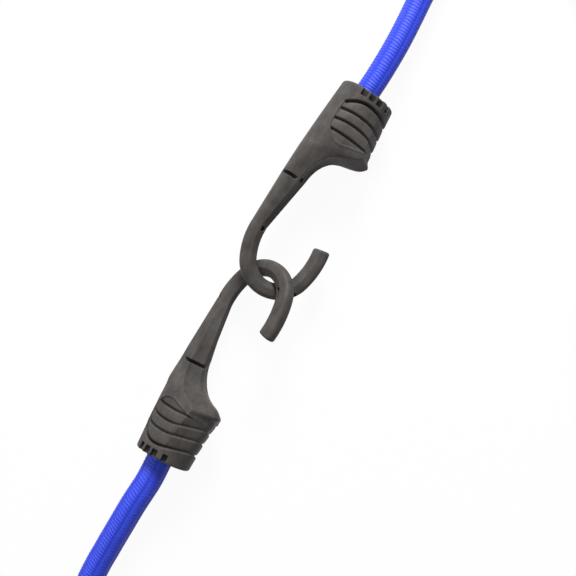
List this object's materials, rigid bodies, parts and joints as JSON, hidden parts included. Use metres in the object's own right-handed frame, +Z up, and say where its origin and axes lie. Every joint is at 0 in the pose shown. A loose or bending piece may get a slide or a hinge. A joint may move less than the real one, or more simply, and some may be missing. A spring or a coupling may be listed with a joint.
{
  "type": "bungee cord",
  "caption": "Braided elastic cord lying in one loop, with a moulded plastic hook over a steel core on each end; the two hooks are linked in one another.",
  "frame": {"origin": "on the table, under the middle of the two linked hooks' box; the free cord isn't counted", "axes": "+Z up off the table, +Y along the two linked hooks' box, +X to the side where the cord lies in its loop"},
  "size_m": [0.1981, 0.2887, 0.0243],
  "materials": {
    "hook_plastic": "moulded, satin, dark warm grey",
    "collar_plastic": "moulded, matt, darker than the hook",
    "steel": "drawn wire and crimped ring, satin",
    "braid": "braided polyester, blue",
    "elastic_core": "natural rubber strands"
  },
  "bodies": {
    "upper_hook": {"upper_hook_moulding": "hook_plastic", "upper_hook_steel_core": "steel", "upper_hook_locking_collar": "collar_plastic", "upper_hook_crimp_ferrule": "steel", "upper_hook_cord_end_jacket": "braid", "upper_hook_cord_end_rubber": "elastic_core", "cord_upper_leg_jacket": "braid", "cord_upper_leg_rubber": "elastic_core", "cord_lower_leg_jacket": "braid", "cord_lower_leg_rubber": "elastic_core"},
    "lower_hook": {"lower_hook_moulding": "hook_plastic", "lower_hook_steel_core": "steel", "lower_hook_locking_collar": "collar_plastic", "lower_hook_crimp_ferrule": "steel", "lower_hook_cord_end_jacket": "braid", "lower_hook_cord_end_rubber": "elastic_core", "cord_lower_lead_jacket": "braid", "cord_lower_lead_rubber": "elastic_core"},
    "cord_bight": {"cord_bight_jacket": "braid", "cord_bight_rubber": "elastic_core"}
  },
  "joints": [
    {"name": "link_swing", "type": "hinge", "parent": "upper_hook", "child": "lower_hook", "pos_m": [0.00522, 0.00561, 0.0126], "axis": [0.1709, -0.0563, 0.9837], "range_deg": [-20, 20], "deforming": ["cord_lower_lead_jacket", "cord_lower_lead_rubber"]},
    {"name": "cord_stretch", "type": "slide", "parent": "upper_hook", "child": "cord_bight", "axis": [0.862, -0.507, 0], "range_m": [0, 0.15], "stiffness_N_per_m": 1500, "deforming": ["cord_upper_leg_jacket", "cord_upper_leg_rubber", "cord_lower_leg_jacket", "cord_lower_leg_rubber"]}
  ]
}
